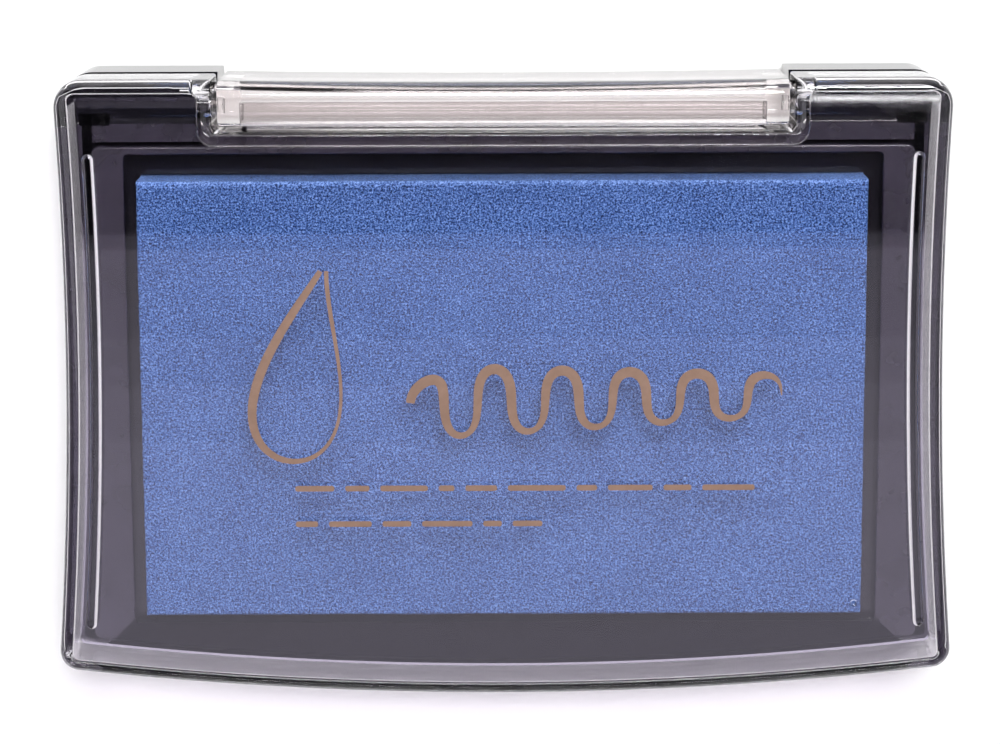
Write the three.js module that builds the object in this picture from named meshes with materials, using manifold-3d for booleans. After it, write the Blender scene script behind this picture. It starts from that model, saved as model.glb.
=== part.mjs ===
// A hinged stamp pad: a black base tray with a raised foam pad, under a clear lid that
// swings over on a clear link bar. The link turns in the tray at its lower end and carries
// the lid at its upper end, so the lid can fold right round and stow under the tray.
//
// Millimetres. +X runs to the right along the long side, +Y to the hinge, +Z up.
// The origin is at the centre of the footprint, on the surface that the pad stands on.

import * as THREE from 'three';
import { mergeVertices } from 'three/addons/utils/BufferGeometryUtils.js';
import Module from 'manifold-3d';

const wasm = await Module();
wasm.setup();

// Case outline: straight rear, sides that bow in, front that bows out.
const HALF_DEPTH = 33.4;
const WAIST_HALF_WIDTH = 46.7;
const WAIST_Y = 8.9;
const SIDE_ARC_R = 444;
const FRONT_ARC_R = 400;
const FRONT_CORNER_R = 2.2;
const REAR_CORNER_R = 3;
const SMALLEST_CORNER_R = 0.4;
const OUTLINE_STEPS = 8;

// Heights of the case.
const BASE_TOP_Z = 9.3;
const LID_EDGE_Z = 9.65;
const PLATE_TOP_Z = 18.6;
const RIB_TOP_Z = 19;

// Hinge: both axes lie along X at the same distance from the rear face.
const HINGE_Y = HALF_DEPTH - 2.75;
const BASE_AXIS_Z = 4.65;
const LID_AXIS_Z = 14.5;
const BARREL_R = BASE_TOP_Z - BASE_AXIS_Z;
const LID_HEEL_R = LID_AXIS_Z - LID_EDGE_Z;
const BARREL_FRONT = 2.05;
const BARREL_RAMP = 0.3;
const NOTCH_HALF_WIDTH = 30.7;
const NOTCH_Y = 27.85;

// Link bar.
const LINK_HALF_LENGTH = 30.1;
const LINK_R = 2.45;
const LINK_CHANNEL_HALF_LENGTH = 27;
const LINK_CHANNEL_HEIGHT = 5;
const LINK_CHANNEL_DEPTH = 2.4;
const PIN_R = 1.3;
const PIN_REACH = 31.9;
const PIN_HOLE_R = 1.6;
const PIN_HOLE_REACH = 32.4;

// Base tray.
const BASE_WALL = 1.7;
const BASE_FRONT_WALL = 1.5;
const BASE_FLOOR = 1.6;
const BASE_FOOT_ROUND = 0.8;
const TRAY_REAR_Y = 26;
const SLOT_X = [42.3, 45.6];
const SLOT_Y = [27.75, 29.05];
const SLOT_FLOOR_Z = 3;
const CHANNEL_X = [44.2, 45.3];

// Insert with the well that holds the foam.
const INSERT_INSET = 2.75;
const INSERT_FRONT_INSET = 1.8;
const INSERT_REAR_Y = 25.6;
const INSERT_TOP_Z = 10.3;
const INSERT_WALL = 1.5;
const INSERT_BOTTOM_Z = BASE_FLOOR + 0.1;
const WELL_HALF_WIDTH = 40.75;
const WELL_Y = [-27.1, 24.65];
const WELL_FLOOR_Z = 8.5;
const WELL_CORNER_R = 0.5;

// Foam and what holds it down.
const FOAM_WIDTH = 78;
const FOAM_DEPTH = 47.8;
const FOAM_CENTRE = [-0.15, -1.5];
const FOAM_TOP_Z = 14.5;
const FOAM_CORNER_R = 0.6;
const FOAM_EDGE_ROUND = 0.5;
const ADHESIVE_MARGIN = 0.8;
const ADHESIVE_THICKNESS = 0.15;
const LAYER_GAP = 0.05;

// Lid.
const LID_WALL = 1.4;
const LID_FRONT_WALL = 1.2;
const LID_ROUND = 1.5;
const LID_INNER_ROUND = 0.15;
const LID_INNER_CORNER_R = 0.7;
const LID_PLATE = 1.5;
const RIB_INSET = 3.4;
const RIB_WIDTH = 1.22;
const RIB_END_Y = 25.1;

// Label on the underside.
const LABEL_WIDTH = 62;
const LABEL_DEPTH = 30;
const LABEL_CORNER_R = 1.5;
const LABEL_Z = [0.1, 0.25];
const LABEL_RECESS_Z = 0.3;
const LABEL_CLEARANCE = 0.3;

// Cutting shapes run well past the surfaces that they open.
const BEYOND = 40;
const PAST = 1;
const ACROSS = [-100, 100];

const blackPlastic = new THREE.MeshStandardMaterial({ color: 0x17161a, roughness: 0.25, metalness: 0 });
const insertPlastic = new THREE.MeshStandardMaterial({ color: 0x1d1c21, roughness: 0.4, metalness: 0 });
const lidPlastic = new THREE.MeshStandardMaterial({ color: 0xe6e8ee, roughness: 0.05, metalness: 0 });
const linkPlastic = new THREE.MeshStandardMaterial({ color: 0xdfe2e6, roughness: 0.08, metalness: 0 });
const foamSkin = new THREE.MeshStandardMaterial({ color: 0x5c7cc0, roughness: 0.95, metalness: 0 });
const adhesiveFilm = new THREE.MeshStandardMaterial({ color: 0xd8d2bd, roughness: 0.5, metalness: 0 });
const labelPaper = new THREE.MeshStandardMaterial({ color: 0xeeece6, roughness: 0.7, metalness: 0 });

// A closed geometry as a solid that can be cut and joined.
function solid(geometry) {
  geometry.deleteAttribute('normal');
  geometry.deleteAttribute('uv');
  const merged = mergeVertices(geometry, 1e-4);
  return new wasm.Manifold(new wasm.Mesh({
    numProp: 3,
    vertProperties: merged.attributes.position.array,
    triVerts: new Uint32Array(merged.index.array),
  }));
}

// A solid as a named mesh.
function mesh(name, body, material) {
  const cut = body.getMesh();
  const geometry = new THREE.BufferGeometry();
  geometry.setAttribute('position', new THREE.BufferAttribute(new Float32Array(cut.vertProperties), 3));
  geometry.setIndex(new THREE.BufferAttribute(new Uint32Array(cut.triVerts), 1));
  geometry.computeVertexNormals();
  const piece = new THREE.Mesh(geometry, material);
  piece.name = name;
  return piece;
}

// A box between two corners.
function block(x, y, z) {
  const geometry = new THREE.BoxGeometry(x[1] - x[0], y[1] - y[0], z[1] - z[0]);
  geometry.translate((x[0] + x[1]) / 2, (y[0] + y[1]) / 2, (z[0] + z[1]) / 2);
  return solid(geometry);
}

// A plan shape raised from one height to another, with both its edges rounded inwards.
function raise(shape, z, round = 0) {
  const geometry = new THREE.ExtrudeGeometry(shape, {
    depth: z[1] - z[0] - 2 * round,
    curveSegments: OUTLINE_STEPS,
    bevelEnabled: round > 0,
    bevelThickness: round,
    bevelSize: round,
    bevelOffset: -round,
    bevelSegments: 4,
  });
  geometry.translate(0, 0, z[0] + round);
  return solid(geometry);
}

// A shape drawn in Y and Z, drawn out along X.
function sweepX(shape, x) {
  const geometry = new THREE.ExtrudeGeometry(shape, {
    depth: x[1] - x[0],
    curveSegments: 24,
    bevelEnabled: false,
  });
  geometry.translate(0, 0, x[0]);
  const alongX = new THREE.Matrix4().makeBasis(
    new THREE.Vector3(0, 1, 0),
    new THREE.Vector3(0, 0, 1),
    new THREE.Vector3(1, 0, 0),
  );
  geometry.applyMatrix4(alongX);
  return solid(geometry);
}

// A round bar along X at the hinge, between two X positions.
function hingeBar(radius, z, x) {
  const circle = new THREE.Shape();
  circle.absarc(HINGE_Y, z, radius, 0, 2 * Math.PI, false);
  return sweepX(circle, x);
}

// The case outline, moved inwards by an inset, which may differ at the front.
function caseOutline(inset = 0, smallestCornerR = SMALLEST_CORNER_R, frontInset = inset) {
  const sideR = SIDE_ARC_R + inset;
  const frontR = FRONT_ARC_R - frontInset;
  const rearY = HALF_DEPTH - inset;
  const frontR0 = Math.max(FRONT_CORNER_R - inset, smallestCornerR);
  const rearR0 = Math.max(REAR_CORNER_R - inset, smallestCornerR);
  const side = new THREE.Vector2(WAIST_HALF_WIDTH + SIDE_ARC_R, WAIST_Y);
  const front = new THREE.Vector2(0, FRONT_ARC_R - HALF_DEPTH);

  const rear = new THREE.Vector2(0, rearY - rearR0);
  rear.x = side.x - Math.sqrt((sideR + rearR0) ** 2 - (rear.y - side.y) ** 2);

  // The front corner's centre is a given distance from both arcs' centres.
  const toSide = sideR + frontR0;
  const toFront = frontR - frontR0;
  const gap = new THREE.Vector2().subVectors(side, front);
  const along = (toFront ** 2 - toSide ** 2 + gap.lengthSq()) / (2 * gap.length());
  const across = Math.sqrt(toFront ** 2 - along ** 2);
  const unit = gap.clone().normalize();
  const corner = new THREE.Vector2(
    front.x + unit.x * along + unit.y * across,
    front.y + unit.y * along - unit.x * across,
  );

  const angle = (from, to) => Math.atan2(to.y - from.y, to.x - from.x);
  const frontEnd = angle(front, corner);
  const cornerEnd = angle(corner, side);
  const sideStart = angle(side, corner);
  const sideEnd = angle(side, rear);
  const rearStart = angle(rear, side);

  const shape = new THREE.Shape();
  shape.absarc(front.x, front.y, frontR, -Math.PI - frontEnd, frontEnd, false);
  shape.absarc(corner.x, corner.y, frontR0, frontEnd, cornerEnd, false);
  shape.absarc(side.x, side.y, sideR, sideStart, sideEnd, true);
  shape.absarc(rear.x, rear.y, rearR0, rearStart, Math.PI / 2, false);
  shape.absarc(-rear.x, rear.y, rearR0, Math.PI / 2, Math.PI - rearStart, false);
  shape.absarc(-side.x, side.y, sideR, Math.PI - sideEnd, Math.PI - sideStart, true);
  shape.absarc(-corner.x, corner.y, frontR0, Math.PI - cornerEnd, -Math.PI - frontEnd, false);
  return shape;
}

// A rectangle with round corners.
function roundedRectangle(width, depth, radius, centre = [0, 0]) {
  const x = width / 2 - radius;
  const y = depth / 2 - radius;
  const shape = new THREE.Shape();
  shape.absarc(centre[0] + x, centre[1] + y, radius, 0, Math.PI / 2, false);
  shape.absarc(centre[0] - x, centre[1] + y, radius, Math.PI / 2, Math.PI, false);
  shape.absarc(centre[0] - x, centre[1] - y, radius, Math.PI, 1.5 * Math.PI, false);
  shape.absarc(centre[0] + x, centre[1] - y, radius, 1.5 * Math.PI, 2 * Math.PI, false);
  return shape;
}

// What lies outside the tray's hinge barrel, behind its ledge.
function outsideBarrel() {
  const start = Math.acos(-BARREL_FRONT / BARREL_R);
  const shape = new THREE.Shape();
  shape.moveTo(HINGE_Y - BARREL_FRONT - BARREL_RAMP, BEYOND);
  shape.lineTo(HINGE_Y - BARREL_FRONT - BARREL_RAMP, BASE_TOP_Z);
  shape.absarc(HINGE_Y, BASE_AXIS_Z, BARREL_R, start, -Math.PI / 2, true);
  shape.lineTo(HINGE_Y, -BEYOND);
  shape.lineTo(HINGE_Y + BEYOND, -BEYOND);
  shape.lineTo(HINGE_Y + BEYOND, BEYOND);
  return sweepX(shape, [-WAIST_HALF_WIDTH - BEYOND, WAIST_HALF_WIDTH + BEYOND]);
}

// What lies outside the lid's round heel, under its axis.
function outsideHeel() {
  const shape = new THREE.Shape();
  shape.moveTo(HINGE_Y + BEYOND, LID_AXIS_Z);
  shape.absarc(HINGE_Y, LID_AXIS_Z, LID_HEEL_R, 0, -Math.PI / 2, true);
  shape.lineTo(HINGE_Y, -BEYOND);
  shape.lineTo(HINGE_Y + BEYOND, -BEYOND);
  return sweepX(shape, [-WAIST_HALF_WIDTH - BEYOND, WAIST_HALF_WIDTH + BEYOND]);
}

function baseTray() {
  const wide = [-NOTCH_HALF_WIDTH, NOTCH_HALF_WIDTH];
  let body = raise(caseOutline(), [0, BASE_TOP_Z + 2 * BASE_FOOT_ROUND], BASE_FOOT_ROUND);
  body = body.subtract(block(ACROSS, ACROSS, [BASE_TOP_Z, BEYOND]));
  const walls = caseOutline(BASE_WALL, SMALLEST_CORNER_R, BASE_FRONT_WALL);
  const inside = raise(walls, [BASE_FLOOR, BEYOND]);
  body = body.subtract(inside.intersect(block(ACROSS, [-BEYOND, TRAY_REAR_Y], [0, BEYOND])));
  body = body.subtract(block(wide, [NOTCH_Y, NOTCH_Y + BEYOND], [-BEYOND, BEYOND]));
  body = body.subtract(outsideBarrel());
  body = body.subtract(hingeBar(PIN_HOLE_R, BASE_AXIS_Z, [-PIN_HOLE_REACH, PIN_HOLE_REACH]));
  for (const sign of [-1, 1]) {
    const x = SLOT_X.map((value) => sign * value).sort((a, b) => a - b);
    body = body.subtract(block(x, SLOT_Y, [SLOT_FLOOR_Z, BEYOND]));
    const channelX = CHANNEL_X.map((value) => sign * value).sort((a, b) => a - b);
    const channelY = [TRAY_REAR_Y - PAST, SLOT_Y[0] + PAST];
    body = body.subtract(block(channelX, channelY, [SLOT_FLOOR_Z, BEYOND]));
  }
  const recess = roundedRectangle(
    LABEL_WIDTH + 2 * LABEL_CLEARANCE,
    LABEL_DEPTH + 2 * LABEL_CLEARANCE,
    LABEL_CORNER_R + LABEL_CLEARANCE,
  );
  body = body.subtract(raise(recess, [-PAST, LABEL_RECESS_Z]));
  return mesh('base_tray', body, blackPlastic);
}

function padInsert() {
  const clip = block(ACROSS, [-BEYOND, INSERT_REAR_Y], [0, BEYOND]);
  const edge = caseOutline(INSERT_INSET, SMALLEST_CORNER_R, INSERT_FRONT_INSET);
  let body = raise(edge, [INSERT_BOTTOM_Z, INSERT_TOP_Z]).intersect(clip);
  const hollow = caseOutline(
    INSERT_INSET + INSERT_WALL,
    SMALLEST_CORNER_R,
    INSERT_FRONT_INSET + INSERT_WALL,
  );
  const under = raise(hollow, [0, WELL_FLOOR_Z - INSERT_WALL]);
  const underClip = block(ACROSS, [-BEYOND, INSERT_REAR_Y - INSERT_WALL], [-PAST, BEYOND]);
  body = body.subtract(under.intersect(underClip));
  const well = roundedRectangle(
    2 * WELL_HALF_WIDTH,
    WELL_Y[1] - WELL_Y[0],
    WELL_CORNER_R,
    [0, (WELL_Y[0] + WELL_Y[1]) / 2],
  );
  body = body.subtract(raise(well, [WELL_FLOOR_Z, BEYOND]));
  return mesh('pad_insert', body, insertPlastic);
}

function padAdhesive() {
  const shape = roundedRectangle(
    FOAM_WIDTH - 2 * ADHESIVE_MARGIN,
    FOAM_DEPTH - 2 * ADHESIVE_MARGIN,
    FOAM_CORNER_R,
    FOAM_CENTRE,
  );
  const bottom = WELL_FLOOR_Z + LAYER_GAP;
  return mesh('pad_adhesive', raise(shape, [bottom, bottom + ADHESIVE_THICKNESS]), adhesiveFilm);
}

function inkFoam() {
  const bottom = WELL_FLOOR_Z + 2 * LAYER_GAP + ADHESIVE_THICKNESS;
  const shape = roundedRectangle(FOAM_WIDTH, FOAM_DEPTH, FOAM_CORNER_R, FOAM_CENTRE);
  return mesh('ink_foam', raise(shape, [bottom, FOAM_TOP_Z], FOAM_EDGE_ROUND), foamSkin);
}

// One of the two long ribs on top of the lid, which follow the sides.
function lidRib(sign) {
  const centreX = sign * (WAIST_HALF_WIDTH + SIDE_ARC_R);
  const middleR = SIDE_ARC_R + RIB_INSET;
  const turn = (y) => Math.asin((y - WAIST_Y) / middleR);
  const facing = sign > 0 ? Math.PI : 0;
  const [rearAngle, frontAngle] = [RIB_END_Y, -RIB_END_Y].map((y) => facing - sign * turn(y));
  const end = (angle) => [
    centreX + middleR * Math.cos(angle),
    WAIST_Y + middleR * Math.sin(angle),
  ];
  const [rearX, rearY] = end(rearAngle);
  const [frontX, frontY] = end(frontAngle);
  const half = RIB_WIDTH / 2;
  const shape = new THREE.Shape();
  shape.absarc(centreX, WAIST_Y, middleR + half, rearAngle, frontAngle, sign < 0);
  shape.absarc(frontX, frontY, half, frontAngle, frontAngle + Math.PI, sign < 0);
  shape.absarc(centreX, WAIST_Y, middleR - half, frontAngle, rearAngle, sign > 0);
  shape.absarc(rearX, rearY, half, rearAngle + Math.PI, rearAngle + 2 * Math.PI, sign < 0);
  return raise(shape, [PLATE_TOP_Z - LID_PLATE / 2, RIB_TOP_Z]);
}

function lid() {
  const wide = [-NOTCH_HALF_WIDTH, NOTCH_HALF_WIDTH];
  const shoulder = NOTCH_HALF_WIDTH + LID_WALL;
  let body = raise(caseOutline(), [LID_EDGE_Z - 2 * LID_ROUND, PLATE_TOP_Z], LID_ROUND);
  body = body.subtract(block(ACROSS, ACROSS, [0, LID_EDGE_Z]));
  const underPlate = PLATE_TOP_Z - LID_PLATE;
  const walls = caseOutline(LID_WALL, LID_INNER_CORNER_R, LID_FRONT_WALL);
  const inside = raise(walls, [0, underPlate], LID_INNER_ROUND);
  const notchWalls = block([-shoulder, shoulder], [NOTCH_Y - LID_WALL, NOTCH_Y + BEYOND], [0, BEYOND]);
  body = body.subtract(inside.subtract(notchWalls));
  body = body.subtract(block(wide, [NOTCH_Y, NOTCH_Y + BEYOND], [0, BEYOND]));
  body = body.subtract(outsideHeel());
  body = body.subtract(hingeBar(PIN_HOLE_R, LID_AXIS_Z, [-shoulder - PAST, shoulder + PAST]));
  body = body.add(lidRib(-1)).add(lidRib(1));
  return mesh('lid', body, lidPlastic);
}

function hingeLink() {
  const section = new THREE.Shape();
  section.absarc(HINGE_Y, LID_AXIS_Z, LINK_R, 0, Math.PI, false);
  section.absarc(HINGE_Y, BASE_AXIS_Z, LINK_R, Math.PI, 2 * Math.PI, false);
  let body = sweepX(section, [-LINK_HALF_LENGTH, LINK_HALF_LENGTH]);
  const middle = (BASE_AXIS_Z + LID_AXIS_Z) / 2;
  const front = HINGE_Y - LINK_R;
  const channel = block(
    [-LINK_CHANNEL_HALF_LENGTH, LINK_CHANNEL_HALF_LENGTH],
    [front - PAST, front + LINK_CHANNEL_DEPTH],
    [middle - LINK_CHANNEL_HEIGHT / 2, middle + LINK_CHANNEL_HEIGHT / 2],
  );
  body = body.subtract(channel);
  for (const z of [BASE_AXIS_Z, LID_AXIS_Z]) {
    body = body.add(hingeBar(PIN_R, z, [-PIN_REACH, PIN_REACH]));
  }
  return mesh('hinge_link', body, linkPlastic);
}

function baseLabel() {
  const shape = roundedRectangle(LABEL_WIDTH, LABEL_DEPTH, LABEL_CORNER_R);
  return mesh('base_label', raise(shape, LABEL_Z), labelPaper);
}

const stampPad = new THREE.Group();
stampPad.add(baseTray());
stampPad.add(padInsert());
stampPad.add(padAdhesive());
stampPad.add(inkFoam());
stampPad.add(lid());
stampPad.add(hingeLink());
stampPad.add(baseLabel());

export default stampPad;
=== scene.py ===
import math

import bmesh
import bpy
from mathutils import Matrix, Vector, noise


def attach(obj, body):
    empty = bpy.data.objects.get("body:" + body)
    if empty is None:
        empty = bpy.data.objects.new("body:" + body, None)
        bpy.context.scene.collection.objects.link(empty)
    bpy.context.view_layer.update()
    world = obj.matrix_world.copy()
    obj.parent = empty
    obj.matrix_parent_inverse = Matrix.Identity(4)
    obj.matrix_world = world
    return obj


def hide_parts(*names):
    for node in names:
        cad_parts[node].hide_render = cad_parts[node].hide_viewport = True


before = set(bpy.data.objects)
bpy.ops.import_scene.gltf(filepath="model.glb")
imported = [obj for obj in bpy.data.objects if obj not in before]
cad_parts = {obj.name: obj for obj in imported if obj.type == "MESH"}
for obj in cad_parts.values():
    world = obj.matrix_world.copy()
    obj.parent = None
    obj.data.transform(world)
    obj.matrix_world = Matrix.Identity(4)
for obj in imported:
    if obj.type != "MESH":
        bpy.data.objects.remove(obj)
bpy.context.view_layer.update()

# The ink pad's visual model: mesh tools, materials, pieces, assembly, then the stage.

MM = 0.001

# Driving sizes in millimetres, the same as the CAD frame's.
HALF_DEPTH = 33.4
WAIST_HALF_WIDTH = 46.7
WAIST_Y = 8.9
SIDE_ARC_R = 444.0
FRONT_ARC_R = 400.0
FRONT_CORNER_R = 2.2
REAR_CORNER_R = 3.0

BASE_TOP_Z = 9.3
LID_EDGE_Z = 9.65
PLATE_TOP_Z = 18.6
RIB_TOP_Z = 19.0

HINGE_Y = HALF_DEPTH - 2.75
BASE_AXIS_Z = 4.65
LID_AXIS_Z = 14.5
BARREL_R = BASE_TOP_Z - BASE_AXIS_Z
LID_HEEL_R = LID_AXIS_Z - LID_EDGE_Z
BARREL_FRONT = 2.05
BARREL_RAMP = 0.3
NOTCH_HALF_WIDTH = 30.7
NOTCH_Y = 27.85

LINK_HALF_LENGTH = 30.1
LINK_R = 2.45
PIN_R = 1.3
PIN_REACH = 31.9
PIN_HOLE_R = 1.6
PIN_HOLE_REACH = 32.4
LID_PIN_HOLE_REACH = 34.0
LINK_CHANNEL_HALF_LENGTH = 28.0
LINK_CHANNEL_HALF_HEIGHT = 2.5
LINK_CHANNEL_DEPTH = 2.4

BASE_WALL = 1.7
BASE_FRONT_WALL = 1.5
BASE_FLOOR = 1.6
LABEL_RECESS = (62.6, 30.6)
LABEL_RECESS_R = 1.8
LABEL_RECESS_DEPTH = 0.3
TRAY_REAR_Y = 26.0
SLOT_X = (42.3, 45.6)
SLOT_Y = (27.75, 29.05)
SLOT_FLOOR_Z = 3.0
CHANNEL_X = (44.2, 45.3)

INSERT_INSET = 2.75
INSERT_FRONT_INSET = 1.8
INSERT_REAR_Y = 25.6
INSERT_TOP_Z = 10.3
INSERT_WALL = 1.5
WELL_HALF_WIDTH = 40.75
WELL_Y = (-27.1, 24.65)
WELL_FLOOR_Z = 8.5
WELL_CORNER_R = 0.5

FOAM_WIDTH = 78.0
FOAM_DEPTH = 47.8
FOAM_CENTRE = (-0.15, -1.5)
FOAM_BOTTOM_Z = 8.75
FOAM_TOP_Z = 14.5

LID_WALL = 1.4
LID_FRONT_WALL = 1.2
LID_PLATE = 1.5
RIB_INSET = 3.4
RIB_WIDTH = 1.22
RIB_END_Y = 25.1
GATE_CENTRE = (37.6, -23.2)

PRINT_Z = (PLATE_TOP_Z - 0.01, PLATE_TOP_Z + 0.015)

# FAR reaches past everything, PAST is how far a cutter starts outside, NEAR counts as the same place.
FAR = 60.0
PAST = 1.0
NEAR = 0.01
SHARP_ANGLE = math.radians(35.0)


# ---------------------------------------------------------------- mesh tools

def finish_mesh(mesh):
    """Faces out, smooth shading, and sharp edges where the surface really turns."""
    bm = bmesh.new()
    bm.from_mesh(mesh)
    bmesh.ops.recalc_face_normals(bm, faces=bm.faces)
    bm.to_mesh(mesh)
    bm.free()
    mesh.shade_smooth()
    mesh.set_sharp_from_angle(angle=SHARP_ANGLE)


def apply_modifiers(piece):
    """Puts the mesh that the modifiers give in the place of the object's own."""
    shown = piece.evaluated_get(bpy.context.evaluated_depsgraph_get())
    mesh = bpy.data.meshes.new_from_object(shown)
    piece.modifiers.clear()
    piece.data = mesh


def flatten_shading(piece):
    """Lets the large flat faces set the normals of the narrow rounds beside them."""
    step = piece.modifiers.new("normals", "WEIGHTED_NORMAL")
    step.mode = "FACE_AREA"
    step.weight = 100
    step.keep_sharp = True
    apply_modifiers(piece)


def placed(name, data):
    """A new object in the scene that shows some mesh, lamp or camera data."""
    thing = bpy.data.objects.new(name, data)
    bpy.context.scene.collection.objects.link(thing)
    return thing


def new_piece(name, points, faces):
    """A mesh object from points in millimetres."""
    mesh = bpy.data.meshes.new(name)
    mesh.from_pydata([(x * MM, y * MM, z * MM) for x, y, z in points], [], faces)
    mesh.validate()
    finish_mesh(mesh)
    return placed(name, mesh)


def loft(name, rings):
    """A closed skin through rings of equal length, capped at the first and the last."""
    count = len(rings[0])
    points = [point for ring in rings for point in ring]
    faces = [tuple(reversed(range(count)))]
    for level in range(len(rings) - 1):
        low = level * count
        for i in range(count):
            j = (i + 1) % count
            faces.append((low + i, low + j, low + count + j, low + count + i))
    last = (len(rings) - 1) * count
    faces.append(tuple(range(last, last + count)))
    return new_piece(name, points, faces)


def boolean(target, cutter, operation="DIFFERENCE"):
    """Cuts or joins one mesh with another, which is used up."""
    step = target.modifiers.new("boolean", "BOOLEAN")
    step.operation = operation
    step.object = cutter
    step.solver = "EXACT"
    apply_modifiers(target)
    bpy.data.objects.remove(cutter)


def soften(target, width, segments):
    """Rounds a mesh's sharp edges by a small width in millimetres."""
    step = target.modifiers.new("bevel", "BEVEL")
    step.width = width * MM
    step.segments = segments
    step.limit_method = "ANGLE"
    step.angle_limit = SHARP_ANGLE
    step.use_clamp_overlap = True
    apply_modifiers(target)


def flat_ring(outline, z):
    return [(x, y, z) for x, y in outline]


def between(a, b, share):
    """Each point of one outline moved a share of the way to the same point of another."""
    return [(p[0] + (q[0] - p[0]) * share, p[1] + (q[1] - p[1]) * share) for p, q in zip(a, b)]


def arc(centre, radius, start, end, steps):
    """Points of an arc between two angles in radians, both ends included."""
    turn = (end - start) / steps
    return [
        (centre[0] + radius * math.cos(start + turn * i), centre[1] + radius * math.sin(start + turn * i))
        for i in range(steps + 1)
    ]


def straight(a, b, steps):
    """Points between two points, both ends left out."""
    return [
        (a[0] + (b[0] - a[0]) * i / steps, a[1] + (b[1] - a[1]) * i / steps)
        for i in range(1, steps)
    ]


def plan(side=0.0, front=0.0, rear=0.0, corners=(FRONT_CORNER_R, REAR_CORNER_R), notch=None):
    """The case outline, counter-clockwise, with its edges moved in by the given amounts.

    notch is None, or (side inset, front inset, outer radius, inner radius)."""
    side_r = SIDE_ARC_R + side
    front_r = FRONT_ARC_R - front
    rear_y = HALF_DEPTH - rear
    front_c, rear_c = corners
    hub = Vector((WAIST_HALF_WIDTH + SIDE_ARC_R, WAIST_Y))
    nose = Vector((0.0, FRONT_ARC_R - HALF_DEPTH))

    back = Vector((0.0, rear_y - rear_c))
    back.x = hub.x - math.sqrt((side_r + rear_c) ** 2 - (back.y - hub.y) ** 2)

    to_hub = side_r + front_c
    to_nose = front_r - front_c
    gap = hub - nose
    along = (to_nose ** 2 - to_hub ** 2 + gap.length_squared) / (2 * gap.length)
    across = math.sqrt(to_nose ** 2 - along ** 2)
    unit = gap.normalized()
    lead = Vector((nose.x + unit.x * along + unit.y * across, nose.y + unit.y * along - unit.x * across))

    def angle(a, b):
        return math.atan2(b.y - a.y, b.x - a.x)

    front_end = angle(nose, lead)
    lead_end = angle(lead, hub)
    side_start = angle(hub, lead) + 2 * math.pi
    side_end = angle(hub, back)
    back_start = angle(back, hub)

    right = arc(lead, front_c, front_end, lead_end, 12)
    right += arc(hub, side_r, side_start, side_end, 44)[1:-1]
    right += arc(back, rear_c, back_start, math.pi / 2, 14)
    if notch:
        notch_side, notch_front, outer, inner = notch
        half = NOTCH_HALF_WIDTH + notch_side
        floor = NOTCH_Y - notch_front
        right += straight(right[-1], (half + outer, rear_y), 4)
        right += arc((half + outer, rear_y - outer), outer, math.pi / 2, math.pi, 6)
        right += straight(right[-1], (half, floor + inner), 8)
        right += arc((half - inner, floor + inner), inner, 0.0, -math.pi / 2, 8)
        right += straight(right[-1], (0.0, floor), 6) + [(0.0, floor)]
    else:
        right += straight(right[-1], (0.0, rear_y), 10) + [(0.0, rear_y)]
    left = [(-x, y) for x, y in reversed(right[:-1])]
    nose_arc = arc(nose, front_r, -math.pi - front_end, front_end, 48)[1:-1]
    return right + left + nose_arc


def rounded_rectangle(width, depth, radius, centre=(0.0, 0.0), steps=8):
    """A rectangle with round corners, counter-clockwise."""
    points = []
    for i, (sx, sy) in enumerate(((1, 1), (-1, 1), (-1, -1), (1, -1))):
        middle = (centre[0] + sx * (width / 2 - radius), centre[1] + sy * (depth / 2 - radius))
        points += arc(middle, radius, i * math.pi / 2, (i + 1) * math.pi / 2, steps)
    return points


def prism(name, outline, low, high):
    return loft(name, [flat_ring(outline, low), flat_ring(outline, high)])


def sweep_x(name, section, low, high):
    """A section of (y, z) points drawn out along X."""
    return loft(name, [[(x, y, z) for y, z in section] for x in (low, high)])


def hinge_bar(name, radius, z, low, high, steps=48):
    return sweep_x(name, arc((HINGE_Y, z), radius, 0.0, 2 * math.pi, steps)[:-1], low, high)


def box(name, x, y, z):
    return prism(name, [(x[0], y[0]), (x[1], y[0]), (x[1], y[1]), (x[0], y[1])], z[0], z[1])


def quarter(steps):
    """Shares (inwards, upwards) round a quarter circle, from upright to flat."""
    return [(1 - math.cos(a), math.sin(a)) for a in (math.pi / 2 * i / steps for i in range(1, steps + 1))]


# ---------------------------------------------------------------- materials

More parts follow.
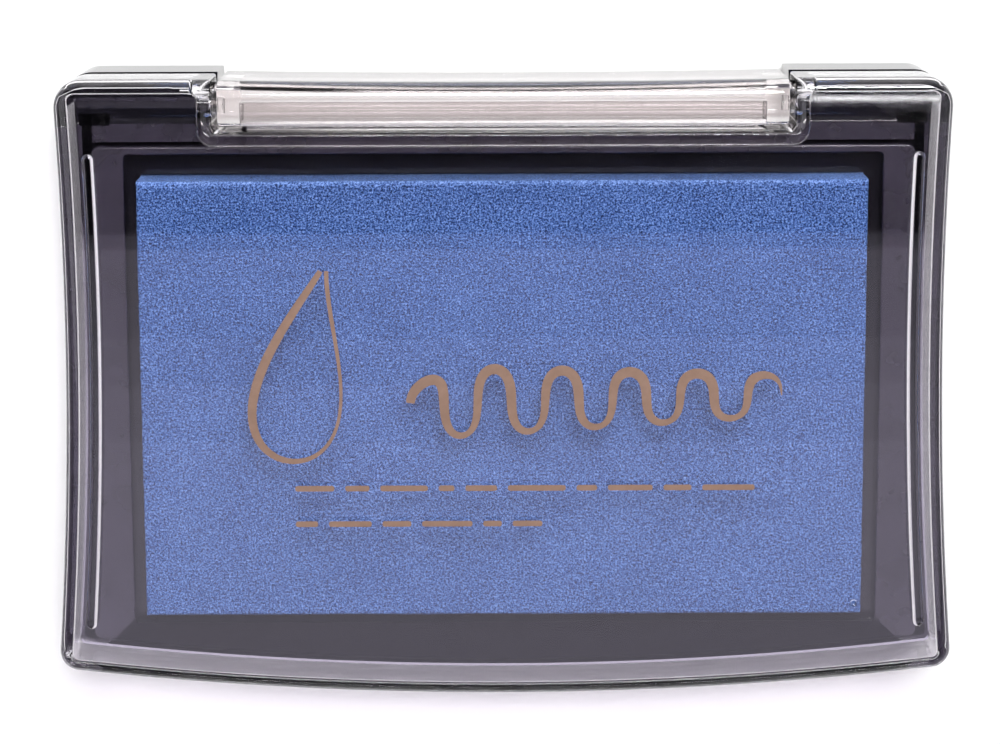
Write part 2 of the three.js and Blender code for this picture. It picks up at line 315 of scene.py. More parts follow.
class Nodes:
    """A short way to wire a material's nodes."""

    def __init__(self, name):
        self.material = bpy.data.materials.new(name)
        self.material.use_nodes = True
        self.tree = self.material.node_tree
        self.tree.nodes.clear()
        self.output = self.add("ShaderNodeOutputMaterial")
        self.place = self.add("ShaderNodeTexCoord").outputs["Object"]

    def add(self, kind, **settings):
        node = self.tree.nodes.new(kind)
        for key, value in settings.items():
            setattr(node, key, value)
        return node

    def link(self, source, target):
        self.tree.links.new(source, target)

    def scaled(self, scale):
        """The place in the frame times a scale of its own along each axis, in cycles per metre."""
        mapping = self.add("ShaderNodeMapping")
        mapping.inputs["Scale"].default_value = scale
        self.link(self.place, mapping.inputs["Vector"])
        return mapping.outputs["Vector"]

    def noise(self, scale, detail=2.0, rough=0.5, distortion=0.0):
        """Noise with cells of about one over scale metres."""
        scale = scale if isinstance(scale, tuple) else (scale, scale, scale)
        node = self.add("ShaderNodeTexNoise")
        node.inputs["Scale"].default_value = 1.0
        node.inputs["Detail"].default_value = detail
        node.inputs["Roughness"].default_value = rough
        node.inputs["Distortion"].default_value = distortion
        self.link(self.scaled(scale), node.inputs["Vector"])
        return node.outputs["Fac"]

    def ramp(self, source, stops):
        node = self.add("ShaderNodeValToRGB")
        elements = node.color_ramp.elements
        while len(elements) < len(stops):
            elements.new(0.5)
        for element, (position, colour) in zip(elements, stops):
            element.position = position
            element.color = (*colour, 1.0)
        self.link(source, node.inputs["Fac"])
        return node.outputs["Color"]

    def spread(self, source, low, high, start=0.0, end=1.0):
        """source mapped from start..end to low..high."""
        node = self.add("ShaderNodeMapRange")
        node.inputs["From Min"].default_value = start
        node.inputs["From Max"].default_value = end
        node.inputs["To Min"].default_value = low
        node.inputs["To Max"].default_value = high
        self.link(source, node.inputs["Value"])
        return node.outputs["Result"]

    def math(self, operation, a, b=None):
        node = self.add("ShaderNodeMath", operation=operation)
        for socket, value in zip(node.inputs, (a, b)):
            if value is None:
                continue
            if isinstance(value, float):
                socket.default_value = value
            else:
                self.link(value, socket)
        return node.outputs["Value"]

    def bump(self, height, strength, distance, normal=None):
        node = self.add("ShaderNodeBump")
        node.inputs["Strength"].default_value = strength
        node.inputs["Distance"].default_value = distance
        self.link(height, node.inputs["Height"])
        if normal is not None:
            self.link(normal, node.inputs["Normal"])
        return node.outputs["Normal"]

    def surface(self, **values):
        """A Principled shader: a number or colour sets its socket, and a socket links to it."""
        shader = self.add("ShaderNodeBsdfPrincipled")
        for key, value in values.items():
            socket = shader.inputs[key.replace("_", " ")]
            if isinstance(value, bpy.types.NodeSocket):
                self.link(value, socket)
            else:
                socket.default_value = (*value, 1.0) if isinstance(value, tuple) else value
        return shader.outputs["BSDF"]

    def done(self, shader):
        self.link(shader, self.output.inputs["Surface"])
        return self.material


def black_plastic(name, colour, roughness, grain, grain_depth):
    """Moulded black styrene: faint mottling, uneven gloss and a fine grain."""
    n = Nodes(name)
    mottle = n.noise(260.0, 3.0)
    darker = tuple(value * 0.75 for value in colour)
    lighter = tuple(value * 1.3 for value in colour)
    tone = n.ramp(mottle, [(0.3, darker), (0.7, lighter)])
    smears = n.noise((90.0, 220.0, 90.0), 4.0, 0.6)
    gloss = n.spread(smears, roughness * 0.8, roughness * 1.35, 0.3, 0.7)
    fine = n.bump(n.noise(grain, 2.0), 0.35, grain_depth)
    shape = n.bump(n.noise(35.0, 1.0), 0.25, 0.00004, fine)
    return n.done(n.surface(Base_Color=tone, Roughness=gloss, Normal=shape, IOR=1.55))


def plateau_plastic():
    """The insert's plastic: satin along the sides and the rear, and in front of a mitre glossier and
    painted far darker, a painted shade.
    """
    n = Nodes("insert_plastic")
    parts = n.add("ShaderNodeSeparateXYZ")
    n.link(n.place, parts.inputs["Vector"])
    strip_y, mitre_x = 0.0263, 0.0405
    ahead = n.math("SUBTRACT", n.math("MULTIPLY", parts.outputs["Y"], -1.0), strip_y)
    beside = n.math("SUBTRACT", n.math("ABSOLUTE", parts.outputs["X"]), mitre_x)
    front = n.spread(n.math("SUBTRACT", ahead, n.math("MAXIMUM", beside, 0.0)), 0.0, 1.0, -0.0001, 0.0003)
    mottle = n.noise(260.0, 3.0)
    satin = n.ramp(mottle, [(0.3, (0.0135, 0.0112, 0.0190)), (0.7, (0.0178, 0.0145, 0.0248))])
    # Painted shade: the zone in front of the mitre gets a far darker colour; its lower roughness and
    # specular level are its finish.
    front_painted_shade = n.ramp(mottle, [(0.3, (0.0016, 0.0014, 0.0030)), (0.7, (0.0022, 0.0019, 0.0038))])
    colour_a, colour_b, result = 6, 7, 2
    tone = n.add("ShaderNodeMix", data_type="RGBA")
    n.link(front, tone.inputs["Factor"])
    n.link(satin, tone.inputs[colour_a])
    n.link(front_painted_shade, tone.inputs[colour_b])
    gloss = n.spread(front, 0.26, 0.12)
    shine = n.spread(front, 0.5, 0.06)
    fine = n.bump(n.noise(3400.0, 2.0), 0.3, 0.00002)
    return n.done(n.surface(
        Base_Color=tone.outputs[result], Roughness=gloss, Normal=fine, IOR=1.55, Specular_IOR_Level=shine,
    ))


def clear_plastic(name, tint, roughness, wave, wave_depth):
    """Clear moulded styrene, which lets the lamps through to what it covers."""
    n = Nodes(name)
    rub = n.noise((160.0, 260.0, 160.0), 5.0, 0.65)
    gloss = n.spread(rub, roughness * 0.5, roughness * 1.8, 0.35, 0.75)
    flow = n.bump(n.noise(wave, 2.0, 0.5, 0.4), 0.3, wave_depth)
    tone = n.ramp(n.noise(120.0, 2.0), [(0.3, tuple(v * 0.985 for v in tint)), (0.7, tint)])
    body = n.surface(
        Base_Color=tone, Roughness=gloss, Normal=flow, IOR=1.57, Transmission_Weight=1.0,
    )
    through = n.add("ShaderNodeBsdfTransparent")
    through.inputs["Color"].default_value = (*(v * 0.96 for v in tint), 1.0)
    path = n.add("ShaderNodeLightPath")
    mix = n.add("ShaderNodeMixShader")
    n.link(path.outputs["Is Shadow Ray"], mix.inputs["Fac"])
    n.link(body, mix.inputs[1])
    n.link(through.outputs["BSDF"], mix.inputs[2])
    return n.done(mix.outputs["Shader"])


def foam_material():
    """Fine open-cell foam full of ink: short dark cell mouths between paler ridges, with a painted
    highlight on the faces that turn to the rear.
    """
    n = Nodes("ink_foam")
    cells = n.noise(5000.0, 1.0, 0.5, 0.3)
    fine = n.noise(9500.0, 1.0, 0.5)
    clouds = n.noise(130.0, 3.0, 0.6)
    mixed = n.math("ADD", n.math("MULTIPLY", cells, 0.78), n.math("MULTIPLY", fine, 0.22))
    level = n.math("ADD", mixed, n.math("MULTIPLY", n.math("SUBTRACT", clouds, 0.5), 0.07))
    facing = n.add("ShaderNodeSeparateXYZ")
    n.link(n.add("ShaderNodeNewGeometry").outputs["Normal"], facing.inputs["Vector"])
    # Painted highlight: faces turned to the rear are made paler, as if lit from behind.
    painted_rear_highlight = n.spread(facing.outputs["Y"], 0.0, 0.10, 0.2, 0.6)
    tone = n.ramp(n.math("ADD", level, painted_rear_highlight), [
        (0.33, (0.000, 0.003, 0.030)),
        (0.425, (0.009, 0.030, 0.110)),
        (0.51, (0.033, 0.077, 0.208)),
        (0.62, (0.088, 0.157, 0.336)),
        (0.79, (0.185, 0.288, 0.545)),
    ])
    pits = n.bump(mixed, 0.7, 0.00015)
    wet = n.spread(cells, 0.5, 0.8, 0.35, 0.65)
    return n.done(n.surface(Base_Color=tone, Roughness=wet, Normal=pits, IOR=1.35, Specular_IOR_Level=0.25))


def print_material():
    """Flat tan printing ink, very slightly uneven."""
    n = Nodes("tan_print")
    tone = n.ramp(n.noise(700.0, 3.0, 0.6), [(0.3, (0.240, 0.145, 0.102)), (0.7, (0.290, 0.180, 0.130))])
    gloss = n.spread(n.noise(400.0, 2.0), 0.35, 0.55)
    grain = n.bump(n.noise(5200.0, 2.0), 0.25, 0.00002)
    return n.done(n.surface(Base_Color=tone, Roughness=gloss, Normal=grain, IOR=1.5))


def film_material(name, light, dark, roughness, scale):
    """Paper or film: two close tones and a fine tooth."""
    n = Nodes(name)
    tone = n.ramp(n.noise(scale, 4.0, 0.65), [(0.25, dark), (0.75, light)])
    tooth = n.bump(n.noise(scale * 3, 3.0), 0.4, 0.00003)
    gloss = n.spread(n.noise(scale / 4, 2.0), roughness * 0.85, roughness * 1.15)
    return n.done(n.surface(Base_Color=tone, Roughness=gloss, Normal=tooth, IOR=1.48))


def floor_material():
    """A pale, evenly lit table."""
    n = Nodes("pale_floor")
    tone = n.ramp(n.noise(3.0, 2.0), [(0.3, (0.95, 0.95, 0.95)), (0.7, (0.97, 0.97, 0.97))])
    tooth = n.bump(n.noise(900.0, 3.0), 0.2, 0.00005)
    return n.done(n.surface(Base_Color=tone, Roughness=0.85, Normal=tooth))


# ---------------------------------------------------------------- pieces

def outside_barrel():
    """What lies outside the tray's hinge barrel, behind its ledge."""
    start = math.acos(-BARREL_FRONT / BARREL_R)
    ledge_y = HINGE_Y - BARREL_FRONT - BARREL_RAMP
    brow = 0.35
    brow_end = math.radians(32.0)
    section = [(ledge_y - brow, FAR), (ledge_y - brow, BASE_TOP_Z)]
    section += arc((ledge_y - brow, BASE_TOP_Z - brow), brow, math.pi / 2, brow_end, 8)[1:]
    section += arc((HINGE_Y, BASE_AXIS_Z), BARREL_R, start, -math.pi / 2, 96)
    section += [(HINGE_Y, -FAR), (HINGE_Y + FAR, -FAR), (HINGE_Y + FAR, FAR)]
    return sweep_x("barrel_cutter", section, -FAR, FAR)


def base_tray():
    """The tray, with its hinge barrels, pin holes, rear slots and the recess for the label."""
    foot = 0.8
    lip = 0.2
    inner_corner = 0.5
    channel_ends = (TRAY_REAR_Y - 0.5, SLOT_Y[0] + 0.3)

    def stepped_in(step):
        return plan(step, step, step, (FRONT_CORNER_R - step, REAR_CORNER_R - step))

    rings = []
    for inwards, upwards in reversed(quarter(8)):
        rings.append(flat_ring(stepped_in(foot * inwards), foot * (1 - upwards)))
    rings.append(flat_ring(plan(), foot))
    rings.append(flat_ring(plan(), BASE_TOP_Z - lip))
    for inwards, upwards in quarter(3):
        rings.append(flat_ring(stepped_in(lip * inwards), BASE_TOP_Z - lip + lip * upwards))
    tray = loft("tray", rings)
    inner = plan(BASE_WALL, BASE_FRONT_WALL, HALF_DEPTH - TRAY_REAR_Y, (inner_corner, inner_corner))
    boolean(tray, prism("cavity", inner, BASE_FLOOR, FAR))
    boolean(tray, box("notch", (-NOTCH_HALF_WIDTH, NOTCH_HALF_WIDTH), (NOTCH_Y, FAR), (-FAR, FAR)))
    boolean(tray, outside_barrel())
    boolean(tray, hinge_bar("pin_hole", PIN_HOLE_R, BASE_AXIS_Z, -PIN_HOLE_REACH, PIN_HOLE_REACH))
    for sign in (-1, 1):
        x = sorted(sign * value for value in SLOT_X)
        boolean(tray, box("slot", x, SLOT_Y, (SLOT_FLOOR_Z, FAR)))
        x = sorted(sign * value for value in CHANNEL_X)
        boolean(tray, box("channel", x, channel_ends, (SLOT_FLOOR_Z, FAR)))
    recess = rounded_rectangle(*LABEL_RECESS, LABEL_RECESS_R)
    boolean(tray, prism("recess", recess, -PAST, LABEL_RECESS_DEPTH))
    finish_mesh(tray.data)
    flatten_shading(tray)
    return tray


def pad_insert():
    """The raised insert: plateau, well and the hollow under its floor."""
    rear = HALF_DEPTH - INSERT_REAR_Y
    corner, hollow_corner = 0.8, 0.5
    lip, mouth = 0.25, 0.3

    def edge(inwards, corner_r):
        insets = (INSERT_INSET + inwards, INSERT_FRONT_INSET + inwards, rear + inwards)
        return plan(*insets, (corner_r, corner_r))

    low = INSERT_TOP_Z - lip
    rings = [flat_ring(edge(0.0, corner), BASE_FLOOR + 0.1), flat_ring(edge(0.0, corner), low)]
    for inwards, upwards in quarter(4):
        rings.append(flat_ring(edge(lip * inwards, corner - lip * inwards), low + lip * upwards))
    insert = loft("insert", rings)
    hollow = edge(INSERT_WALL, hollow_corner)
    boolean(insert, prism("hollow", hollow, 0.0, WELL_FLOOR_Z - INSERT_WALL))

    def well(grow):
        width, depth = 2 * WELL_HALF_WIDTH + 2 * grow, WELL_Y[1] - WELL_Y[0] + 2 * grow
        return rounded_rectangle(width, depth, WELL_CORNER_R + grow, (0.0, (WELL_Y[0] + WELL_Y[1]) / 2))

    rings = [flat_ring(well(0.0), WELL_FLOOR_Z), flat_ring(well(0.0), INSERT_TOP_Z - mouth)]
    for inwards, upwards in quarter(4):
        rings.append(flat_ring(well(mouth * inwards), INSERT_TOP_Z - mouth + mouth * upwards))
    rings.append(flat_ring(well(mouth), FAR))
    boolean(insert, loft("well", rings))
    finish_mesh(insert.data)
    flatten_shading(insert)
    return insert


def ticks(length, pitch, border, fine):
    """Places along a length: close together near both ends, and further apart between."""
    near = round(border / fine)
    middle = round((length - 2 * border) / pitch)
    places = [fine * i for i in range(near)]
    places += [border + (length - 2 * border) * i / middle for i in range(middle + 1)]
    places += [length - fine * i for i in reversed(range(near))]
    return places


def ink_foam():
    """A slab with softly worn edges and a surface that is uneven from cell to cell."""
    height = FOAM_TOP_Z - FOAM_BOTTOM_Z
    half_w, half_d = FOAM_WIDTH / 2, FOAM_DEPTH / 2
    side_round, front_round, rear_round, top_round = 0.3, 0.4, 0.95, 0.6
    # The grid is finer in a border round each edge, and has no rows low on the hidden sides.
    cell, fine_cell = 0.3, 0.12
    border_x, border_y, border_z = 0.48, 0.96, 0.84
    bare_foot = 0.5
    xs = [x - half_w for x in ticks(FOAM_WIDTH, cell, border_x, fine_cell)]
    ys = [y - half_d for y in ticks(FOAM_DEPTH, cell, border_y, fine_cell)]
    zs = [z for z in ticks(height, cell, border_z, fine_cell) if z < NEAR or z > bare_foot]
    last_i, last_j, last_k = len(xs) - 1, len(ys) - 1, len(zs) - 1
    bm = bmesh.new()
    grid = {}

    def vertex(i, j, k):
        key = (i, j, k)
        if key not in grid:
            grid[key] = bm.verts.new((xs[i], ys[j], zs[k]))
        return grid[key]

    def patch(corners):
        bm.faces.new([vertex(*corner) for corner in corners])

    for i in range(last_i):
        for j in range(last_j):
            patch([(i, j, last_k), (i + 1, j, last_k), (i + 1, j + 1, last_k), (i, j + 1, last_k)])
    for k in range(last_k):
        for i in range(last_i):
            for j in (0, last_j):
                patch([(i, j, k), (i + 1, j, k), (i + 1, j, k + 1), (i, j, k + 1)])
        for j in range(last_j):
            for i in (0, last_i):
                patch([(i, j, k), (i, j + 1, k), (i, j + 1, k + 1), (i, j, k + 1)])
    under = [(i, 0, 0) for i in range(last_i)] + [(last_i, j, 0) for j in range(last_j)]
    under += [(i, last_j, 0) for i in range(last_i, 0, -1)] + [(0, j, 0) for j in range(last_j, 0, -1)]
    patch(under)
    bmesh.ops.recalc_face_normals(bm, faces=bm.faces)

    def eased(u, v, low_u, high_u, high_v, reach_u, reach_v):
        """A point moved in to the elliptical rounds of a section's edges, and its way out of them."""
        inner_u, inner_v = max(low_u, min(high_u, u)), min(high_v, v)
        way_u, way_v = (u - inner_u) / reach_u, (v - inner_v) / reach_v
        size = math.hypot(way_u, way_v)
        if size <= 1.0:
            return u, v, way_u, way_v
        return inner_u + way_u / size * reach_u, inner_v + way_v / size * reach_v, way_u, way_v

    # Depths in millimetres of the cells' roughness, of a slow swell, and how far the skin is drawn in.
    coarse, fine, slow, sink = 0.06, 0.05, 0.05, 0.1
    for v in bm.verts:
        x, y, z = v.co
        end = rear_round if y > 0 else front_round
        y_in, z_in, out_y, out_z = eased(
            y, z, front_round - half_d, half_d - rear_round, height - top_round, end, top_round)
        x_in, z_in, out_x, side_z = eased(
            x, z_in, side_round - half_w, half_w - side_round, height - side_round, side_round, side_round)
        away = Vector((out_x, out_y, out_z + side_z))
        out = away.normalized() if away.length > 0.001 else Vector((0.0, 0.0, 0.0))
        v.co = (x_in, y_in, z_in)
        spot = Vector((x, y, z))
        rough = coarse * noise.noise(spot * 2.3) + fine * noise.noise(spot * 5.1 + Vector((7, 3, 1)))
        swell = slow * noise.noise(spot * 0.12 + Vector((2, 9, 4)))
        if z > NEAR:
            v.co = v.co + out * (rough + swell - sink)
        v.co = (v.co + Vector((*FOAM_CENTRE, FOAM_BOTTOM_Z))) * MM
    mesh = bpy.data.meshes.new("foam")
    bm.to_mesh(mesh)
    bm.free()
    mesh.shade_smooth()
    return placed("foam", mesh)


def heel_z(y):
    """The lid's lower edge, which rounds up about the lid's axis behind it."""
    back = max(0.0, y - HINGE_Y)
    return LID_AXIS_Z - math.sqrt(LID_HEEL_R ** 2 - back ** 2)


def lid_rib(sign):
    """A long raised rib with round ends and a rounded top, which follows one side."""
    middle_r = SIDE_ARC_R + RIB_INSET
    centre = (sign * (WAIST_HALF_WIDTH + SIDE_ARC_R), WAIST_Y)
    reach = math.asin((RIB_END_Y - WAIST_Y) / middle_r), math.asin((-RIB_END_Y - WAIST_Y) / middle_r)

    def outline(half):
        steps = 60
        spine = [reach[1] + (reach[0] - reach[1]) * i / steps for i in range(steps + 1)]
        facing = math.pi if sign > 0 else 0.0
        angles = [facing - sign * turn for turn in spine]

        def at(angle, radius):
            return centre[0] + radius * math.cos(angle), centre[1] + radius * math.sin(angle)

        one = [at(a, middle_r - sign * half) for a in angles]
        other = [at(a, middle_r + sign * half) for a in reversed(angles)]
        far_end, near_end = at(angles[-1], middle_r), at(angles[0], middle_r)
        points = list(one)
        start = math.atan2(one[-1][1] - far_end[1], one[-1][0] - far_end[0])
        points += arc(far_end, half, start, start + math.pi, 12)[1:-1]
        points += other
        start = math.atan2(other[-1][1] - near_end[1], other[-1][0] - near_end[0])
        points += arc(near_end, half, start, start + math.pi, 12)[1:-1]
        return points

    rise = RIB_TOP_Z - PLATE_TOP_Z
    half, crest_half, root = RIB_WIDTH / 2, 0.2, 0.3
    rings = [flat_ring(outline(half), PLATE_TOP_Z - root), flat_ring(outline(half), PLATE_TOP_Z)]
    for inwards, upwards in quarter(6):
        rings.append(flat_ring(outline(half - (half - crest_half) * inwards), PLATE_TOP_Z + rise * upwards))
    return loft("rib", rings)


def gate_mark():
    """The small dimpled ring that the moulding gate leaves on the plate."""
    profile = [(0.42, -0.2), (0.42, 0.0), (0.37, 0.07), (0.27, 0.09), (0.19, 0.04), (0.1, 0.02)]
    rings = []
    for radius, rise in profile:
        circle = arc(GATE_CENTRE, radius, 0.0, 2 * math.pi, 24)[:-1]
        rings.append(flat_ring(circle, PLATE_TOP_Z + rise))
    return loft("gate", rings)


def lid():
    """One clear shell: ceiling, inner walls, lower edge, outer walls, rounded top edge, plate."""
    side_round, front_round, rear_round = 1.65, 1.5, 1.25
    notch_side_round, notch_front_round = 1.3, 0.35
    top_round = 1.5
    inner_round = 0.15

    outer = plan(notch=(0.0, 0.0, 0.3, 0.9))
    top = plan(side_round, front_round, rear_round, (0.5, 0.8),
               (notch_side_round, notch_front_round, 0.3, 1.3))
    inner = plan(LID_WALL, LID_FRONT_WALL, LID_WALL, (0.6, 0.8), (LID_WALL, LID_WALL, 0.9, 1.6))
    deep = LID_WALL + inner_round
    ceiling = plan(deep, LID_FRONT_WALL + inner_round, deep, (0.5, 0.7), (deep, deep, 0.8, 1.7))

    under = PLATE_TOP_Z - LID_PLATE
    rings = [flat_ring(ceiling, under)]
    for inwards, upwards in reversed(quarter(4)[:-1]):
        bend = between(inner, ceiling, inwards)
        rings.append(flat_ring(bend, under - inner_round + inner_round * upwards))
    rings.append(flat_ring(inner, under - inner_round))
    rings.append([(x, y, heel_z(y)) for x, y in inner])
    rings.append([(x, y, heel_z(y)) for x, y in outer])
    rings.append(flat_ring(outer, PLATE_TOP_Z - top_round))
    for inwards, upwards in quarter(10):
        bend = between(outer, top, inwards)
        rings.append(flat_ring(bend, PLATE_TOP_Z - top_round + top_round * upwards))
    shell = loft("clear_lid", rings)
    boolean(shell, hinge_bar("pin_hole", PIN_HOLE_R, LID_AXIS_Z, -LID_PIN_HOLE_REACH, LID_PIN_HOLE_REACH))
    for sign in (-1, 1):
        boolean(shell, lid_rib(sign), "UNION")
    boolean(shell, gate_mark(), "UNION")
    finish_mesh(shell.data)
    flatten_shading(shell)
    return shell


def hinge_link():
    """A clear bar, slightly hollow along its rear face, with an open channel in front."""
    bow = 0.27
    stations = 60
    steps = 14
    corner = 1.75
    edge_round = 0.12
    flat = LINK_R - corner
    section = []
    for turn, (side_y, side_z) in enumerate(((1, 1), (-1, 1), (-1, -1), (1, -1))):
        middle_z = LID_AXIS_Z if side_z > 0 else BASE_AXIS_Z
        middle = (HINGE_Y + side_y * flat, middle_z + side_z * flat)
        section += arc(middle, corner, turn * math.pi / 2, (turn + 1) * math.pi / 2, steps)
    rings = []
    for i in range(stations + 1):
        share = -1 + 2 * i / stations
        x = share * LINK_HALF_LENGTH
        pull = bow * (1 - share ** 2) / LINK_R
        rings.append([(x, y - max(0.0, y - HINGE_Y) * pull, z) for y, z in section])
    bar = loft("clear_link", rings)
    front = HINGE_Y - LINK_R
    middle = (BASE_AXIS_Z + LID_AXIS_Z) / 2
    boolean(bar, box(
        "channel",
        (-LINK_CHANNEL_HALF_LENGTH, LINK_CHANNEL_HALF_LENGTH),
        (front - PAST, front + LINK_CHANNEL_DEPTH),
        (middle - LINK_CHANNEL_HALF_HEIGHT, middle + LINK_CHANNEL_HALF_HEIGHT),
    ))
    for z in (BASE_AXIS_Z, LID_AXIS_Z):
        boolean(bar, hinge_bar("pin", PIN_R, z, -PIN_REACH, PIN_REACH), "UNION")
    soften(bar, edge_round, 2)
    finish_mesh(bar.data)
    flatten_shading(bar)
    return bar


def stroke(name, spine, widths):
    """A flat printed stroke along a smooth spine, with its own width at each point."""
    bottom, top = PRINT_Z
    left, right = [], []
    count = len(spine)
    for i, (x, y) in enumerate(spine):
        before, after = spine[max(i - 1, 0)], spine[min(i + 1, count - 1)]
        dx, dy = after[0] - before[0], after[1] - before[1]
        size = math.hypot(dx, dy) or 1.0
        nx, ny = -dy / size, dx / size
        half = widths[i] / 2
        left.append((x + nx * half, y + ny * half))
        right.append((x - nx * half, y - ny * half))
    points, faces = [], []
    for z in (bottom, top):
        points += flat_ring(left, z) + flat_ring(right, z)
    lift = 2 * count
    for i in range(count - 1):
        j = i + 1
        faces.append((i, j, count + j, count + i))
        faces.append((lift + count + i, lift + count + j, lift + j, lift + i))
        faces.append((j, i, lift + i, lift + j))
        faces.append((count + i, count + j, lift + count + j, lift + count + i))
    faces.append((0, count, lift + count, lift))
    faces.append((2 * count - 1, count - 1, lift + count - 1, lift + 2 * count - 1))
    return new_piece(name, points, faces)


def joined(name, pieces):
    """One object made of several, each used up."""
    bm = bmesh.new()
    for piece in pieces:
        bm.from_mesh(piece.data)
        bpy.data.objects.remove(piece)
    mesh = bpy.data.meshes.new(name)
    bm.to_mesh(mesh)
    bm.free()
    return placed(name, mesh)


def ink_drop():
    """A plain drop outline, brushed thick down one side and thin up the other."""
    apex, middle, radius = (-18.6, 14.6), (-22.4, -0.4), 6.9
    first, length = 0.08, 0.84
    thin, thicker, sharpness = 0.25, 1.05, 1.7
    spine, widths = [], []
    steps = 120
    for i in range(steps + 1):
        t = first + length * i / steps
        turn = 2 * math.pi * t
        pinch = math.sin(turn / 2) ** sharpness
        x = middle[0] - radius * pinch * math.sin(turn)
        lean = (apex[0] - middle[0]) * ((1 + math.cos(turn)) / 2) ** 2
        y = middle[1] + (apex[1] - middle[1]) * (1 + math.cos(turn)) / 2 - radius * (1 - math.cos(turn)) / 2
        spine.append((x + lean, y))
        one_side = 0.55 + 0.45 * math.cos(turn - 1.0)
        widths.append(thin + thicker * math.sin(math.pi * t) ** 0.8 * one_side)
    return stroke("drop", spine, widths)


def brush_wave():
    """One quick zigzag of a brush, which fades as it goes."""
    start, length, waves, height, rise = (-10.0, -1.0), 39.5, 5.5, 3.9, 0.018
    lean, thin, thicker = 0.5, 0.62, 0.5
    spine, widths = [], []
    steps = 360
    for i in range(steps + 1):
        t = i / steps
        turn = 2 * math.pi * waves * t
        tall = height * (1 - 0.45 * t) * min(1.0, 8 * t + 0.25)
        x = start[0] + length * t - lean * math.sin(2 * turn)
        y = start[1] + tall * math.sin(turn) + rise * (x - start[0])
        spine.append((x, y))
        fade = min(1.0, 14 * (1 - t) + 0.12)
        widths.append((thin + thicker * abs(math.sin(turn / 2 + 0.6))) * fade)
    return stroke("wave", spine, widths)


def dashes(start, y, lengths, gap=1.15, thick=0.62):
    """A row of short plain bars."""
    row, x = [], start
    for length in lengths:
        outline = rounded_rectangle(length, thick, 0.25, (x + length / 2, y), 4)
        row.append(prism("dash", outline, PRINT_Z[0], PRINT_Z[1]))
        x += length + gap
    return row


# ---------------------------------------------------------------- assembly

tray_plastic = black_plastic("tray_plastic", (0.006, 0.0056, 0.0085), 0.08, 2600.0, 0.00001)
insert_plastic = plateau_plastic()
# The well round the foam gets a far darker colour than the tray and the insert: painted shade in the
# recess.
well_plastic = black_plastic("well_plastic", (0.0019, 0.0016, 0.0034), 0.12, 3400.0, 0.00002)
lid_clear = clear_plastic("lid_clear", (0.930, 0.912, 0.938), 0.02, 30.0, 0.000006)
# The link's tint is a much darker grey than the lid's: painted shade, standing in for the shaded floor seen
# through the clear bar.
link_clear = clear_plastic("link_clear", (0.735, 0.708, 0.708), 0.04, (12.0, 420.0, 420.0), 0.00002)
foam_blue = foam_material()
tan_print = print_material()
adhesive_film = film_material("adhesive_film", (0.72, 0.68, 0.55), (0.64, 0.60, 0.47), 0.45, 900.0)
label_stock = film_material("label_stock", (0.84, 0.83, 0.79), (0.78, 0.77, 0.73), 0.55, 1500.0)

tray = base_tray()
tray.data.materials.append(tray_plastic)
tray.data.materials.append(insert_plastic)
for face in tray.data.polygons:
    on_top = face.normal.z > 0.999 and abs(face.center.z / MM - BASE_TOP_Z) < 2 * NEAR
    face.material_index = 1 if on_top else 0
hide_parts("base_tray")
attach(tray, "base")

insert = pad_insert()
insert.data.materials.append(insert_plastic)
insert.data.materials.append(well_plastic)
margin = 0.1
for face in insert.data.polygons:
    middle = face.center / MM
    in_plan = (abs(middle.x) < WELL_HALF_WIDTH + margin
               and WELL_Y[0] - margin < middle.y < WELL_Y[1] + margin)
    in_height = WELL_FLOOR_Z - margin < middle.z < INSERT_TOP_Z - margin / 2
    face.material_index = 1 if in_plan and in_height else 0
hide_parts("pad_insert")
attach(insert, "base")

foam = ink_foam()
foam.data.materials.append(foam_blue)
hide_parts("ink_foam")
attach(foam, "base")

shell = lid()
shell.data.materials.append(lid_clear)
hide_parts("lid")
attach(shell, "lid")

bar = hinge_link()
bar.data.materials.append(link_clear)
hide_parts("hinge_link")
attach(bar, "link")

dashes_x = -22.4
marks = [ink_drop(), brush_wave()]
marks += dashes(dashes_x, -10.3, (4.2, 2.6, 5.1, 1.7, 3.4, 6.2, 2.2, 4.8, 3.0, 5.6))
marks += dashes(dashes_x, -14.2, (2.4, 4.6, 3.1, 5.4, 2.0, 3.2))
lid_print = joined("lid_print", marks)
finish_mesh(lid_print.data)
lid_print.data.materials.append(tan_print)
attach(lid_print, "lid")

for node, material in (("pad_adhesive", adhesive_film), ("base_label", label_stock)):
    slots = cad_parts[node].data.materials
    slots.clear()
    slots.append(material)


# ---------------------------------------------------------------- floor, light and camera

def area_light(name, place, target, size, watts, colour=(1.0, 1.0, 1.0)):
    lamp = bpy.data.lights.new(name, "AREA")
    lamp.shape = "RECTANGLE"
    lamp.size, lamp.size_y = size
    lamp.energy = watts
    lamp.color = colour
    holder = placed(name, lamp)
    holder.location = place
    holder.rotation_euler = (Vector(target) - Vector(place)).to_track_quat("-Z", "Y").to_euler()


def floor():
    mesh = bpy.data.meshes.new("floor")
    reach, gap = 3.0, 0.0002
    mesh.from_pydata([(-reach, -reach, 0), (reach, -reach, 0), (reach, reach, 0), (-reach, reach, 0)], [],
                     [(0, 1, 2, 3)])
    mesh.materials.append(floor_material())
    table = placed("floor", mesh)
    table.location.z = -gap


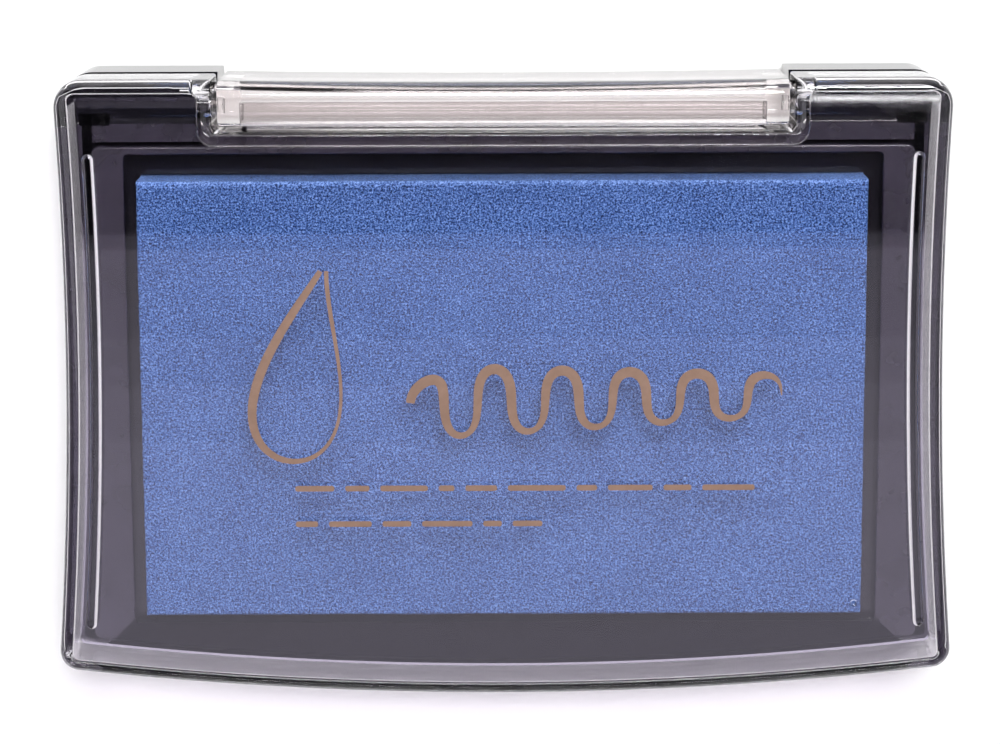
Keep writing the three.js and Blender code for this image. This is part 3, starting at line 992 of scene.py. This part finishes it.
def surroundings():
    """Pale round the horizon, falling to a dark ceiling."""
    world = bpy.data.worlds.new("studio")
    bpy.context.scene.world = world
    world.use_nodes = True
    tree = world.node_tree
    tree.nodes.clear()
    place = tree.nodes.new("ShaderNodeTexCoord")
    parts = tree.nodes.new("ShaderNodeSeparateXYZ")
    ramp = tree.nodes.new("ShaderNodeValToRGB")
    back = tree.nodes.new("ShaderNodeBackground")
    out = tree.nodes.new("ShaderNodeOutputWorld")
    tree.links.new(place.outputs["Generated"], parts.inputs["Vector"])
    tree.links.new(parts.outputs["Z"], ramp.inputs["Fac"])
    tree.links.new(ramp.outputs["Color"], back.inputs["Color"])
    tree.links.new(back.outputs["Background"], out.inputs["Surface"])
    stops = ramp.color_ramp.elements
    stops[0].position, stops[0].color = 0.0, (0.565, 0.55, 0.54, 1.0)
    stops[1].position, stops[1].color = 0.75, (0.015, 0.014, 0.018, 1.0)
    stops.new(0.35).color = (0.18, 0.18, 0.185, 1.0)


def camera():
    lens = bpy.data.cameras.new("camera")
    lens.lens = 108.0
    lens.sensor_width = 36.0
    lens.clip_start = 0.01
    holder = placed("camera", lens)
    place = Vector((-0.44, 62.2, 331.5)) * MM
    tilt, roll = math.radians(10.83), math.radians(0.21)
    holder.matrix_world = (
        Matrix.Translation(place)
        @ Matrix.Rotation(-tilt, 4, "X")
        @ Matrix.Rotation(-roll, 4, "Z")
    )
    bpy.context.scene.camera = holder


floor()
surroundings()
camera()
# The lid's plate mirrors the lamps straight above it as a grey veil, which grows to the front.
# Each row is a name, its place along Y, height, reach along Y and watts.
veil_tint = (0.88, 0.83, 1.0)
veil_width = 0.52
for name, y, z, reach, watts in (
    ("veil_softbox", -0.2006, 0.600, 0.2588, 0.122),
    ("veil_edge", -0.1986, 0.604, 0.2628, 0.122),
    ("veil_rise_1", -0.2150, 0.608, 0.2300, 0.052),
    ("veil_rise_2", -0.2225, 0.612, 0.2150, 0.052),
    ("veil_rise_3", -0.2320, 0.616, 0.1960, 0.042),
):
    area_light(name, (0.0, y, z), (0.0, y, 0.0), (veil_width, reach), watts, veil_tint)
pad_middle = (0.0, 0.0, 0.01)
area_light("back_softbox", (0.06, 0.33, 0.60), pad_middle, (0.26, 0.18), 4.8)
area_light("shoulder_strip", (0.113, -0.0262, 0.600), (0.113, -0.0262, 0.0), (0.0455, 0.0013), 0.0022)
area_light("left_softbox", (-0.50, 0.12, 0.45), pad_middle, (0.45, 0.60), 1.0)
area_light("right_softbox", (0.50, 0.05, 0.45), pad_middle, (0.45, 0.60), 0.4)
bpy.context.scene.view_settings.view_transform = "Standard"
